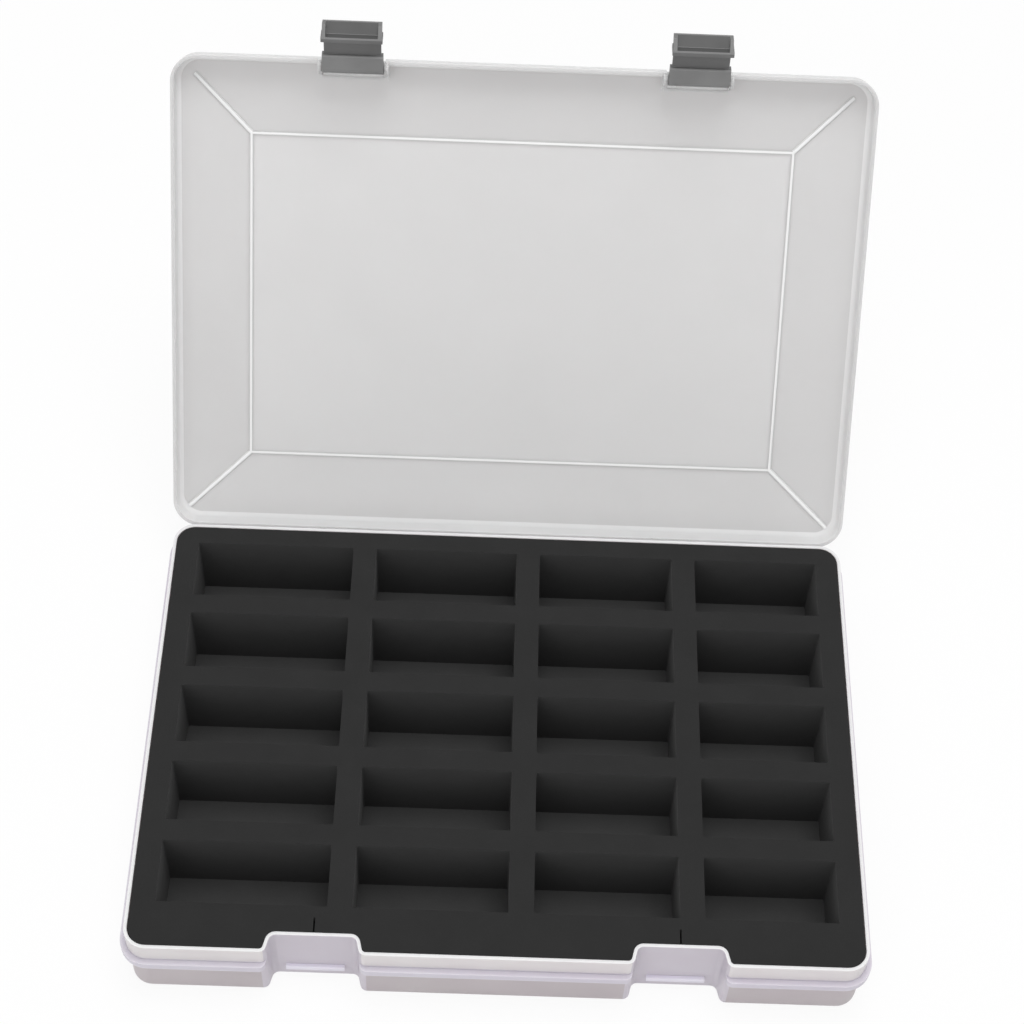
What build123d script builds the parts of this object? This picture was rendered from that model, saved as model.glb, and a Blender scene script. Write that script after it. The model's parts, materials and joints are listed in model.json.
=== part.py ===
from build123d import *
import math
import os

# A shallow two-part storage case for model cars, in millimetres. X runs to the right, Y to the back and Z up.
# The origin is on the underside of the base, below the middle of its rim. The case is modelled shut, and the
# lid and the latches are then turned to the open pose in which the case is shown.

# Base tray
case_length = 350.0  # left to right, across the rim
case_width = 242.0  # front to back, across the rim
base_height = 43.6
corner_radius = 11.0
rim_wall = 1.6
floor_thickness = 2.0
foot_radius = 2.8  # round along the bottom edge
draft_angle = 0.5  # lean of the moulded walls, in degrees
rim_height = 12.0  # the straight band that the lid slips over
ledge_reach = 2.8  # how far the ledge stands out beyond the rim
ledge_height = 4.4
ledge_wall = 1.4  # the ledge is hollow from below
ledge_top_wall = 1.8
body_inset = 0.5  # step of the wall below the ledge

# Latch recesses in the front wall
latch_spacing = 172.4  # from the middle of one latch to the middle of the other
recess_depth = 9.0
recess_back_width = 40.0
recess_mouth_width = 44.4
recess_back_radius = 3.2
recess_mouth_radius = 3.4
catch_width = 28.0
catch_height = 2.6
catch_reach = 2.0
catch_edge = 0.5  # bevel along the front of the catch

# Lid
lid_wall = 1.8
lid_seat_gap = 0.3  # between the skirt and the ledge
lid_plate = 1.6
lid_head_room = 1.3  # between the rim and the plate
lid_edge_radius = 4.8  # outside, round the top
panel_length = 277.0  # the raised flat in the middle of the lid
panel_width = 170.0
panel_rise = 3.0
panel_setback = 1.6  # towards the hinges, from the middle of the lid
bead_width = 2.0  # raised line along the hips, on the inner face
bead_height = 0.6
bead_front_share = 0.83  # how much of a front hip the line covers
bead_back_share = 0.94  # how much of a back hip the line covers

# Hinges at the back
hinge_spacing = 172.4
hinge_setback = 5.0  # from the back of the rim to the pivot
hinge_rod_diameter = 3.6
hinge_knuckle_length = 22.0
hinge_knuckle_diameter = 6.8
hinge_cheek = 3.0
hinge_cheek_nose = 1.9  # round of the cheek about the pivot
hinge_heel = 7.0  # length of the sloping heel that stops the open lid
hinge_foot_drop = 14.0  # from the pivot down to the foot of the bracket
hinge_gusset = 8.0  # height of the web that ties the knuckle to the lid
lid_open_angle = 126.0  # from shut

# Latches and their pivots on the lid
latch_pivot_inset = 0.2  # from the front of the rim back to the pivot
latch_pivot_drop = 14.0  # from the rim down to the pivot
latch_rod_diameter = 3.6
latch_width = 30.4  # knuckle and hook
latch_side_gap = 0.5
latch_knuckle_radius = 3.3
latch_plate_step = 1.0  # the plate is narrower than the knuckle, at each end
latch_plate = 2.0
latch_plate_offset = 0.2  # outer face of the plate, inwards from the pivot
latch_block_rise = 0.4  # from the pivot to the upper end of the thick block
latch_block_drop = 9.4  # from the pivot to its lower end
latch_block_reach = 4.1  # from the pivot to its inner face
latch_block_round = 1.0
latch_hook_height = 2.6
latch_hook_gap = 0.3  # under the catch
latch_hook_grip = 1.2  # how far the hook reaches behind the catch's edge
latch_hook_bevel = 0.5
latch_length = 26.8  # from the pivot to the free end
latch_pull_floor = 4.2  # inner face of the pull where it leaves the hook
latch_pull_flare = 4.9  # how far the pull leans out by its free end
latch_pull_web = 1.8
latch_pull_web_height = 3.2  # of the end walls, at the free end
latch_cheek = 1.8
latch_cheek_radius = 3.0
latch_pocket_back_gap = 0.9  # between the block and the pocket's back wall
latch_pocket_wall = 1.6
latch_slot = 3.0  # mouth by which the knuckle is pushed over its rod
latch_rest_angle = 60.0  # from shut, on the open lid
rod_fit = 0.05  # running clearance round each rod, on the radius

# Foam insert
foam_gap = 0.4  # to the wall of the tray, at the rim
foam_backing = 1.0
column_shares = (0.2816, 0.2566, 0.2406, 0.2212)  # of the length left for pockets, left to right
pocket_rows = 5
column_wall = 11.9
row_wall = 10.9
pocket_back_margin = 11.8  # from the back of the rim to the first row
pocket_front_margin = 24.1  # from the last row to the front of the rim
pocket_end_margin = 13.35  # from the ends of the rim to the first and last columns
slit_width = 1.0  # relief cut behind each latch recess
slit_length = 7.5

# Places that follow from the sizes
half_length = case_length / 2
half_width = case_width / 2
ledge_top = base_height - rim_height
ledge_bottom = ledge_top - ledge_height
rim_front = -half_width
recess_back = rim_front + recess_depth
skirt_bottom = ledge_top + lid_seat_gap
plate_bottom = base_height + lid_head_room
plate_top = plate_bottom + lid_plate
lid_front = rim_front - ledge_reach
crown_reach = ledge_reach - lid_edge_radius
hinge_y = half_width + hinge_setback
hinge_z = ledge_top
latch_y = rim_front + latch_pivot_inset
latch_z = base_height - latch_pivot_drop
latch_places = (-latch_spacing / 2, latch_spacing / 2)
hinge_places = (-hinge_spacing / 2, hinge_spacing / 2)
pocket_back_wall = latch_y + latch_block_reach + latch_pocket_back_gap
pocket_half = latch_width / 2 + latch_side_gap
hook_tip = recess_back - catch_reach + latch_hook_grip
hook_bottom_drop = latch_length - 4.0
hook_top_drop = hook_bottom_drop - latch_hook_height
catch_bottom = latch_z - hook_top_drop + latch_hook_gap
foam_reach = -(rim_wall + foam_gap)
rows_width = case_width - pocket_back_margin - pocket_front_margin
pocket_width = (rows_width - row_wall * (pocket_rows - 1)) / pocket_rows
pocket_run = case_length - 2 * pocket_end_margin - column_wall * (len(column_shares) - 1)
side_lean = math.atan((recess_mouth_width - recess_back_width) / 2 / recess_depth)
overlap = 1.0  # how far a cutter or a joined piece runs on past a face


def side_profile(points):
    """A closed outline in the vertical front-to-back plane, from (y, z) points."""
    return Plane.YZ * make_face(Polyline(*points, close=True))


def across(profile, width, middle=0.0):
    """A side profile drawn out to both sides of a middle plane."""
    return Pos(middle, 0, 0) * extrude(profile, width / 2, both=True)


def rod(diameter, length, y, z, middle=0.0):
    """A round bar from left to right."""
    return across(Plane.YZ * Pos(y, z) * Circle(diameter / 2), length, middle)


def recess_plan(grow, front):
    """Plan of one latch recess, enlarged all round, open towards the front."""
    back = recess_back + grow
    half_back = recess_back_width / 2 + grow / math.cos(side_lean) - grow * math.tan(side_lean)
    half_front = half_back + (back - front) * math.tan(side_lean)
    corners = [(-half_front, front), (half_front, front), (half_back, back), (-half_back, back)]
    face = make_face(Polyline(*corners, close=True))
    return fillet(face.vertices().sort_by(Axis.Y)[-2:], recess_back_radius + grow)


def tray_plan(reach, recess_grow=0.0):
    """Plan of the tray, grown by reach beyond the rim, with its two latch recesses."""
    plan = RectangleRounded(case_length + 2 * reach, case_width + 2 * reach, corner_radius + reach)
    front = rim_front - reach
    for x in latch_places:
        plan -= Pos(x, 0) * recess_plan(recess_grow, front - overlap)
    mouths = plan.vertices().filter_by(
        lambda v: abs(v.Y - front) < 0.01 and abs(abs(v.X) - latch_spacing / 2) < recess_mouth_width
    )
    return fillet(mouths, recess_mouth_radius - recess_grow)


def lid_plan(reach):
    """Plan of the lid, grown by reach beyond the rim."""
    return RectangleRounded(case_length + 2 * reach, case_width + 2 * reach, corner_radius + reach)


def slope_profile(foot, front, back, bottom):
    """Points of the lid's hipped top from one side: upright, then sloped in to the flat panel."""
    return [
        (-foot, bottom - overlap),
        (foot, bottom - overlap),
        (foot, bottom),
        (back, bottom + panel_rise),
        (front, bottom + panel_rise),
        (-foot, bottom),
    ]


def lid_crown(bottom):
    """The hipped top of the lid: four slopes that rise to the flat panel."""
    foot_x = half_length + crown_reach
    foot_y = half_width + crown_reach
    from_side = slope_profile(foot_y, panel_setback - panel_width / 2, panel_setback + panel_width / 2, bottom)
    from_front = slope_profile(foot_x, -panel_length / 2, panel_length / 2, bottom)
    crown = extrude(Pos(0, 0, bottom - overlap) * lid_plan(crown_reach), panel_rise + overlap)
    crown &= across(side_profile(from_side), case_length)
    return crown & extrude(Plane.XZ * make_face(Polyline(*from_front, close=True)), half_width, both=True)


def make_base_tray():
    """The tray: rim band, ledge, leaning body, recesses with catches, and the hinge brackets."""
    body = extrude(Pos(0, 0, ledge_bottom) * tray_plan(-body_inset), -ledge_bottom, taper=draft_angle)
    body = fillet(body.faces().sort_by(Axis.Z)[0].edges(), foot_radius)
    tray = body + extrude(Pos(0, 0, ledge_bottom) * tray_plan(0.0), base_height - ledge_bottom)
    tray += extrude(Pos(0, 0, ledge_bottom) * tray_plan(ledge_reach), ledge_height)
    groove = tray_plan(ledge_reach - ledge_wall, ledge_wall) - tray_plan(0.0)
    tray -= extrude(Pos(0, 0, ledge_bottom) * groove, ledge_height - ledge_top_wall)
    cavity_depth = base_height - floor_thickness
    inside = tray_plan(-rim_wall, rim_wall)
    tray -= extrude(Pos(0, 0, base_height) * inside, -cavity_depth, taper=draft_angle)
    for x in latch_places:
        tray += make_catch(x)
    for x in hinge_places:
        tray -= hinge_clearance(x)
        tray += make_hinge_bracket(x)
    return tray


def make_catch(x):
    """The bar on a recess's back wall that the latch hooks under."""
    front = recess_back - catch_reach
    back = recess_back + rim_wall
    top = catch_bottom + catch_height
    points = [
        (back, catch_bottom),
        (front, catch_bottom),
        (front, top - catch_edge),
        (front + catch_edge, top),
        (back, top),
    ]
    return across(side_profile(points), catch_width, x)


def hinge_clearance(x):
    """The stretch of ledge that is left out for the lid's knuckle."""
    gap = hinge_knuckle_length + 2 * latch_side_gap
    depth = ledge_reach + overlap
    middle = Pos(x, half_width + depth / 2, (ledge_top + ledge_bottom) / 2)
    return middle * Box(gap, depth, ledge_height)


def make_hinge_bracket(x):
    """Two cheeks with a rod between them. Their sloping backs stop the open lid."""
    turn = math.radians(lid_open_angle)
    along = (math.sin(turn), math.cos(turn))
    square = (-math.cos(turn), math.sin(turn))
    slope_top = (hinge_y + square[0] * hinge_cheek_nose, hinge_z + square[1] * hinge_cheek_nose)
    slope_end = (slope_top[0] + along[0] * hinge_heel, slope_top[1] + along[1] * hinge_heel)
    wall = half_width - body_inset - rim_wall / 2
    points = [
        (hinge_y - hinge_cheek_nose, hinge_z),
        (wall, ledge_top),
        (wall, hinge_z - hinge_foot_drop),
        slope_end,
        slope_top,
        (hinge_y, hinge_z),
    ]
    cheek = side_profile(points) + Plane.YZ * Pos(hinge_y, hinge_z) * Circle(hinge_cheek_nose)
    outset = (hinge_knuckle_length + hinge_cheek) / 2 + latch_side_gap
    bracket = across(cheek, hinge_cheek, x - outset) + across(cheek, hinge_cheek, x + outset)
    return bracket + rod(hinge_rod_diameter, 2 * outset, hinge_y, hinge_z, x)


def make_lid():
    """The lid, shut: a skirt under a hipped top, with latch pockets in front and hinge knuckles behind."""
    shell = extrude(Pos(0, 0, skirt_bottom) * lid_plan(ledge_reach), plate_top - skirt_bottom)
    shell = fillet(shell.faces().sort_by(Axis.Z)[-1].edges(), lid_edge_radius)
    shell += lid_crown(plate_top)
    inside = lid_plan(ledge_reach - lid_wall)
    hollow = extrude(Pos(0, 0, skirt_bottom) * inside, plate_bottom - skirt_bottom)
    hollow = fillet(hollow.faces().sort_by(Axis.Z)[-1].edges(), lid_edge_radius - lid_wall)
    lid = shell - hollow - lid_crown(plate_bottom)
    lid += make_beads()
    for x in latch_places:
        lid += shell & latch_pocket_block(x)
        lid -= latch_pocket_hollow(x)
        lid += make_latch_pivot(x)
    for x in hinge_places:
        lid += make_hinge_knuckle(x)
    return lid


def make_beads():
    """The raised lines on the inner face: round the flat panel, and out along the four hips."""
    panel_bottom = plate_bottom + panel_rise
    frame = Rectangle(panel_length + bead_width, panel_width + bead_width)
    frame -= Rectangle(panel_length - bead_width, panel_width - bead_width)
    beads = extrude(Pos(0, panel_setback, panel_bottom - bead_height) * frame, bead_height + lid_plate / 2)
    for y_side, share in ((-1, bead_front_share), (1, bead_back_share)):
        for x_side in (-1, 1):
            corner = (x_side * panel_length / 2, panel_setback + y_side * panel_width / 2)
            run_x = x_side * (half_length + crown_reach) - corner[0]
            run_y = y_side * (half_width + crown_reach) - corner[1]
            heading = math.degrees(math.atan2(run_y, run_x))
            hip = make_hip_bead(math.hypot(run_x, run_y) * share, panel_rise * share)
            beads += Pos(*corner, panel_bottom) * Rot(0, 0, heading) * hip
    return beads


def make_hip_bead(reach, fall):
    """A raised line that runs outwards along X from the flat panel's corner, and falls with the hip."""
    points = [
        (0, -bead_height),
        (0, lid_plate / 2),
        (reach, lid_plate / 2 - fall),
        (reach, -bead_height - fall),
    ]
    return extrude(Plane.XZ * make_face(Polyline(*points, close=True)), bead_width / 2, both=True)


def latch_pocket_block(x):
    """The material round a latch pocket: its back wall and its two side walls."""
    back = pocket_back_wall + latch_pocket_wall
    front = lid_front + lid_wall / 2
    height = plate_bottom - skirt_bottom + lid_plate / 2
    middle = Pos(x, (front + back) / 2, skirt_bottom + height / 2)
    return middle * Box(2 * (pocket_half + latch_cheek), back - front, height)


def latch_pocket_hollow(x):
    """The space that a latch turns in, open to the front and below."""
    front = lid_front - overlap
    height = plate_bottom - skirt_bottom + overlap
    middle = Pos(x, (front + pocket_back_wall) / 2, plate_bottom - height / 2)
    return middle * Box(2 * pocket_half, pocket_back_wall - front, height)


def make_latch_pivot(x):
    """Two lugs under the pocket's side walls, and the rod between them."""
    back = pocket_back_wall
    points = [
        (lid_front, skirt_bottom + overlap),
        (back, skirt_bottom + overlap),
        (latch_y + latch_cheek_radius, latch_z),
        (latch_y - latch_cheek_radius, latch_z),
    ]
    lug = side_profile(points) + Plane.YZ * Pos(latch_y, latch_z) * Circle(latch_cheek_radius)
    outset = pocket_half + latch_cheek / 2
    lugs = across(lug, latch_cheek, x - outset) + across(lug, latch_cheek, x + outset)
    return lugs + rod(latch_rod_diameter, 2 * outset, latch_y, latch_z, x)


def make_hinge_knuckle(x):
    """A knuckle at the back of the lid, open below so that it can be pushed over the base's rod."""
    lid_back = half_width + ledge_reach
    radius = hinge_knuckle_diameter / 2
    points = [
        (lid_back - lid_wall / 2, skirt_bottom),
        (lid_back - lid_wall / 2, hinge_z + hinge_gusset),
        (lid_back, hinge_z + hinge_gusset),
        (hinge_y + radius, hinge_z),
        (hinge_y, skirt_bottom),
    ]
    web = side_profile(points) + Plane.YZ * Pos(hinge_y, hinge_z) * Circle(radius)
    knuckle = across(web, hinge_knuckle_length, x)
    knuckle -= rod(hinge_rod_diameter + 2 * rod_fit, hinge_knuckle_length + overlap, hinge_y, hinge_z, x)
    mouth = Pos(x, hinge_y, hinge_z - radius) * Box(hinge_knuckle_length + overlap, latch_slot, 2 * radius)
    return knuckle - mouth


def latch_point(drop, inward):
    """A point of a shut latch, from its drop below the pivot and its distance inwards."""
    return (latch_y + inward, latch_z - drop)


def make_latch(x):
    """One latch, shut: knuckle and block, plate, hook, and a flared pull with end walls."""
    inner = latch_plate_offset + latch_plate
    tip = hook_tip - latch_y
    end_floor = latch_pull_floor - latch_pull_flare
    pull_run = latch_length - hook_bottom_drop
    knuckle = Plane.YZ * Pos(latch_y, latch_z) * Circle(latch_knuckle_radius)
    block = make_face(Polyline(
        latch_point(-latch_block_rise, latch_plate_offset),
        latch_point(-latch_block_rise, latch_block_reach),
        latch_point(latch_block_drop, latch_block_reach),
        latch_point(latch_block_drop, latch_plate_offset),
        close=True,
    ))
    block = fillet(block.vertices().sort_by(Axis.X)[-2:], latch_block_round)
    latch = across(knuckle + Plane.YZ * block, latch_width, x)
    plate = side_profile([
        latch_point(0, latch_plate_offset),
        latch_point(0, inner),
        latch_point(hook_bottom_drop, inner),
        latch_point(hook_bottom_drop, latch_plate_offset),
    ])
    latch += across(plate, latch_width - 2 * latch_plate_step, x)
    hook = side_profile([
        latch_point(hook_top_drop, inner - latch_plate / 2),
        latch_point(hook_top_drop, tip),
        latch_point(hook_bottom_drop - latch_hook_bevel, tip),
        latch_point(hook_bottom_drop, tip - latch_hook_bevel),
        latch_point(hook_bottom_drop, inner - latch_plate / 2),
    ])
    latch += across(hook, latch_width, x)
    pull = side_profile([
        latch_point(hook_top_drop, inner - latch_plate / 2),
        latch_point(hook_bottom_drop, latch_pull_floor),
        latch_point(latch_length, end_floor),
        latch_point(latch_length - latch_plate * 0.4, end_floor - latch_plate),
        latch_point(hook_bottom_drop, latch_pull_floor - latch_pull_flare * 0.9),
        latch_point(hook_top_drop, latch_plate_offset),
    ])
    latch += across(pull, latch_width - latch_plate_step, x)
    web = side_profile([
        latch_point(hook_bottom_drop - latch_hook_height / 2, inner),
        latch_point(hook_bottom_drop - latch_hook_height / 2, tip - latch_hook_bevel),
        latch_point(hook_bottom_drop, tip - latch_hook_bevel),
        latch_point(latch_length, end_floor + latch_pull_web_height),
        latch_point(latch_length, end_floor),
        latch_point(hook_bottom_drop + pull_run / 2, end_floor),
    ])
    outset = (latch_width - latch_plate_step - latch_pull_web) / 2
    latch += across(web, latch_pull_web, x - outset) + across(web, latch_pull_web, x + outset)
    latch -= rod(latch_rod_diameter + 2 * rod_fit, latch_width + overlap, latch_y, latch_z, x)
    reach = latch_knuckle_radius + overlap
    latch -= Pos(x, latch_y - reach / 2, latch_z) * Box(latch_width + overlap, reach, latch_slot)
    return latch


def pocket_columns():
    """The left end and the length of each column of pockets."""
    left = pocket_end_margin - half_length
    for share in column_shares:
        length = share * pocket_run
        yield left, length
        left += length + column_wall


def make_foam_grid():
    """The foam block, cut through with rows of pockets and fitted round the latch recesses."""
    plan = tray_plan(foam_reach, -foam_reach)
    for row in range(pocket_rows):
        y = half_width - pocket_back_margin - pocket_width / 2 - row * (pocket_width + row_wall)
        for left, length in pocket_columns():
            plan -= Pos(left + length / 2, y) * Rectangle(length, pocket_width)
    foam_front = recess_back - foam_reach
    for x in latch_places:
        plan -= Pos(x, foam_front + slit_length / 2) * Rectangle(slit_width, slit_length + overlap)
    bottom = floor_thickness + foam_backing
    return extrude(Pos(0, 0, bottom) * plan, base_height - bottom)


def make_foam_floor():
    """The thin sheet under the foam block, which closes the pockets below."""
    return extrude(Pos(0, 0, floor_thickness) * tray_plan(foam_reach, -foam_reach), foam_backing)


def opened(shape):
    """A piece of the shut lid, turned back about the hinges."""
    return shape.rotate(Axis((0, hinge_y, hinge_z), (1, 0, 0)), -lid_open_angle)


def make_open_latch(x):
    """A latch turned out about its own rod, and then back with the lid."""
    latch = make_latch(x).rotate(Axis((0, latch_y, latch_z), (1, 0, 0)), -latch_rest_angle)
    return opened(latch)


parts = {
    "base_tray": make_base_tray(),
    "lid": opened(make_lid()),
    "latch_left": make_open_latch(latch_places[0]),
    "latch_right": make_open_latch(latch_places[1]),
    "foam_grid": make_foam_grid(),
    "foam_floor": make_foam_floor(),
}
os.makedirs("parts", exist_ok=True)
for name, shape in parts.items():
    export_step(shape, f"parts/{name}.step")
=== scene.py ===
"""A storage case for small model cars, shown open.

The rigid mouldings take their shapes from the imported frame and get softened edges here. The foam
insert and the raised lines of the lid are built with geometry nodes. All sizes are in metres.
"""

import json
import logging
import math
from collections.abc import Callable
from dataclasses import dataclass, field
from enum import Enum

import bmesh
import bpy
import numpy as np
from bpy.types import ID, Curve, Material, Mesh, Node, NodeSocket, NodeTree, Object
from mathutils import Matrix, Vector

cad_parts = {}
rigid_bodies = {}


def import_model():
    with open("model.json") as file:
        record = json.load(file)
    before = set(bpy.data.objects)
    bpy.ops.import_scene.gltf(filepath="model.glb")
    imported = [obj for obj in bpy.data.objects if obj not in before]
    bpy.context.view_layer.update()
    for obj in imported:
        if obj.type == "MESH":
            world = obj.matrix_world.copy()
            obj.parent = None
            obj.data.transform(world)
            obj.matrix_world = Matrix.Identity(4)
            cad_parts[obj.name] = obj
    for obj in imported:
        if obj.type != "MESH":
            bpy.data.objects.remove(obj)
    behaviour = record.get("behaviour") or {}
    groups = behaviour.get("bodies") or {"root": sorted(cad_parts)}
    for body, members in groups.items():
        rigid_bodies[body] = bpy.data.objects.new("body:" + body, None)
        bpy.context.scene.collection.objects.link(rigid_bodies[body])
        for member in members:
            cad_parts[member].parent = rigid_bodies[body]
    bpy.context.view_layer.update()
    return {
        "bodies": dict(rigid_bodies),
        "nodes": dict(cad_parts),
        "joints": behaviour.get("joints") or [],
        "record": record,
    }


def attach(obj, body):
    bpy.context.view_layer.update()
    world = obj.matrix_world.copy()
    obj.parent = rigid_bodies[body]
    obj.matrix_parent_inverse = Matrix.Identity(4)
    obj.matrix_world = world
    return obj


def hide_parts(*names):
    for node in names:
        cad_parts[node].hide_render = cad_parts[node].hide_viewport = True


logger = logging.getLogger("case")

MM = 0.001
NOISE_MIDDLE = (0.3, 0.7)  # most values of a noise texture lie in this range
NOISE_CORE = (0.35, 0.65)  # a narrower range, for a pattern with more contrast
BEND_ANGLE = 40.0  # degrees, above which two faces meet in a visible edge
UPRIGHT_RISE = 0.5  # a face counts as upright while its normal rises less than this
FLAT_WEIGHT = 90  # percent, above 50 where a large face sways the shading more than a small one

Colour = tuple[float, float, float, float]
Point = tuple[float, float]
Span = tuple[float, float]
Triple = tuple[float, float, float]


class Socket(Enum):
    """The kinds of socket on the node groups."""

    NUMBER = "NodeSocketFloat"
    COUNT = "NodeSocketInt"
    COLOUR = "NodeSocketColor"
    VECTOR = "NodeSocketVector"
    GEOMETRY = "NodeSocketGeometry"
    MATERIAL = "NodeSocketMaterial"


class Slot(Enum):
    """The record's material slots."""

    TRAY = "tray_plastic"
    LID = "lid_plastic"
    LATCH = "latch_plastic"
    FOAM = "foam"


class Body(Enum):
    """The moving bodies of the frame."""

    BASE = "base"
    LID = "lid"
    LEFT = "latch_left"
    RIGHT = "latch_right"


@dataclass
class CaseSizes:
    """The sizes that more than one piece needs, in metres, with the lid shut."""

    length: float = 350.0 * MM
    width: float = 242.0 * MM
    height: float = 43.6 * MM
    corner_radius: float = 11.0 * MM
    floor: float = 2.0 * MM
    latch_x: float = 86.2 * MM
    recess_depth: float = 9.0 * MM
    recess_back_width: float = 40.0 * MM
    recess_mouth_width: float = 44.4 * MM
    recess_back_radius: float = 3.2 * MM
    recess_mouth_radius: float = 3.4 * MM
    panel_length: float = 277.0 * MM
    panel_width: float = 170.0 * MM
    panel_setback: float = 1.6 * MM
    hinge_y: float = 126.0 * MM
    hinge_z: float = 31.6 * MM
    open_angle: float = math.radians(126.0)
    latch_y: float = -120.8 * MM
    latch_z: float = 29.6 * MM
    latch_angle: float = math.radians(60.0)

    @staticmethod
    def turn_about(y: float, z: float, angle: float) -> Matrix:
        """The turn back by an angle about a rod from left to right."""
        pivot = Vector((0.0, y, z))
        turn = Matrix.Rotation(-angle, 4, "X")
        return Matrix.Translation(pivot) @ turn @ Matrix.Translation(-pivot)

    def opening(self) -> Matrix:
        """The turn that takes a point of the shut lid to its place on the open lid."""
        return self.turn_about(self.hinge_y, self.hinge_z, self.open_angle)

    def latch_opening(self) -> Matrix:
        """The turn that takes a point of a shut latch to its place on the open lid."""
        folded = self.turn_about(self.latch_y, self.latch_z, self.latch_angle)
        return self.opening() @ folded


def shade(value: int, tint: Triple = (1.0, 1.0, 1.0)) -> Colour:
    """A grey given as it looks on a screen, from 0 to 255, made linear and tinted.

    Args:
        value: The grey on the screen.
        tint: Factors on red, green and blue.

    Returns:
        The linear colour, opaque.
    """
    level = value / 255.0
    linear = level / 12.92 if level <= 0.04045 else ((level + 0.055) / 1.055) ** 2.4
    return (linear * tint[0], linear * tint[1], linear * tint[2], 1.0)


class TreeBuilder:
    """Adds nodes and links to one node tree."""

    def __init__(self, tree: NodeTree) -> None:
        """Keeps the tree that is built."""
        self.tree = tree
        self.entry: Node | None = None
        self.exit: Node | None = None

    @classmethod
    def group(
        cls, name: str, kind: str, inputs: list[tuple], outputs: list[tuple]
    ) -> "TreeBuilder":
        """Starts a node group with named sockets.

        Args:
            name: The group's name.
            kind: The tree's type.
            inputs: Name and kind of each input, and its default value where it has one.
            outputs: Name and kind of each output.

        Returns:
            The builder of the new group.
        """
        builder = cls(bpy.data.node_groups.new(name, kind))
        sockets = builder.tree.interface
        for label, socket, *default in inputs:
            entry = sockets.new_socket(name=label, in_out="INPUT", socket_type=socket.value)
            if default:
                entry.default_value = default[0]
        for label, socket in outputs:
            sockets.new_socket(name=label, in_out="OUTPUT", socket_type=socket.value)
        builder.entry = builder.node("NodeGroupInput")
        builder.exit = builder.node("NodeGroupOutput")
        return builder

    @classmethod
    def shaping(cls, name: str, sizes: dict[str, float]) -> "TreeBuilder":
        """Starts a geometry tree, which also has an input for its material.

        Args:
            name: The tree's name.
            sizes: The value of each named size, where a whole number is a count.

        Returns:
            The builder of the new tree.
        """
        inputs = [("Geometry", Socket.GEOMETRY), ("Material", Socket.MATERIAL)]
        for label, value in sizes.items():
            socket = Socket.COUNT if isinstance(value, int) else Socket.NUMBER
            inputs.append((label, socket, value))
        return cls.group(name, "GeometryNodeTree", inputs, [("Geometry", Socket.GEOMETRY)])

    def node(
        self, kind: str, feeds: dict[str | int, object] | None = None, **settings: object
    ) -> Node:
        """Adds a node.

        Args:
            kind: The node's type.
            feeds: A socket or a plain value for each input, by its name or number.
            settings: The node's options, which are set before its inputs.

        Returns:
            The new node.
        """
        node = self.tree.nodes.new(kind)
        for key, value in settings.items():
            setattr(node, key, value)
        self.feed(node, feeds or {})
        return node

    def feed(self, node: Node, feeds: dict[str | int, object]) -> None:
        """Links a socket to each named input of a node, or sets it to a plain value."""
        for key, value in feeds.items():
            if isinstance(value, NodeSocket):
                self.tree.links.new(value, node.inputs[key])
            else:
                node.inputs[key].default_value = value

    def place(self) -> NodeSocket:
        """Where a point lies on its piece."""
        return self.node("ShaderNodeTexCoord").outputs["Object"]

    def mask(self, name: str) -> NodeSocket:
        """The value that the faces hold under a mask's name."""
        return self.node("ShaderNodeAttribute", attribute_name=name).outputs["Fac"]

    def maths(self, operation: str, first: object, second: object) -> NodeSocket:
        """Adds one sum.

        Args:
            operation: The Math node's operation.
            first: A socket or a number.
            second: A socket or a number.

        Returns:
            The result's socket.
        """
        feeds = {0: first, 1: second}
        return self.node("ShaderNodeMath", feeds, operation=operation).outputs[0]

    def vector(self, x: object, y: object, z: object) -> NodeSocket:
        """Puts three sockets or numbers together as a vector."""
        return self.node("ShaderNodeCombineXYZ", {"X": x, "Y": y, "Z": z}).outputs[0]

    def noise(self, place: object, scale: object, detail: float = 2.0) -> NodeSocket:
        """Adds a noise texture.

        Args:
            place: The socket of the coordinates.
            scale: How fine the noise is, a socket or a number.
            detail: How many finer layers it has.

        Returns:
            The socket of the noise's value.
        """
        feeds = {"Vector": place, "Scale": scale, "Detail": detail}
        return self.node("ShaderNodeTexNoise", feeds).outputs[0]

    def bump(self, strength: float, depth: object, height: object) -> NodeSocket:
        """Adds a relief that a height gives, as deep as depth, and returns its normal."""
        feeds = {"Strength": strength, "Distance": depth, "Height": height}
        return self.node("ShaderNodeBump", feeds).outputs[0]

    def blend(
        self, amount: object, first: object, second: object, way: str = "MIX"
    ) -> NodeSocket:
        """Mixes two colours.

        Args:
            amount: How much of the second colour, a socket or a number.
            first: A colour or its socket.
            second: A colour or its socket.
            way: How the second colour acts on the first.

        Returns:
            The mixed colour's socket.
        """
        feeds = {0: amount, 6: first, 7: second}
        return self.node("ShaderNodeMix", feeds, data_type="RGBA", blend_type=way).outputs[2]

    def ramp(
        self, value: object, low: float, high: float, to_low: object, to_high: object
    ) -> NodeSocket:
        """Maps a value from one range to another, held at both ends.

        Args:
            value: The socket to map.
            low: Where the range starts.
            high: Where it ends.
            to_low: The result at the start, a socket or a number.
            to_high: The result at the end, a socket or a number.

        Returns:
            The mapped value's socket.
        """
        feeds = dict(enumerate((value, low, high, to_low, to_high)))
        return self.node("ShaderNodeMapRange", feeds, clamp=True).outputs[0]


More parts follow.
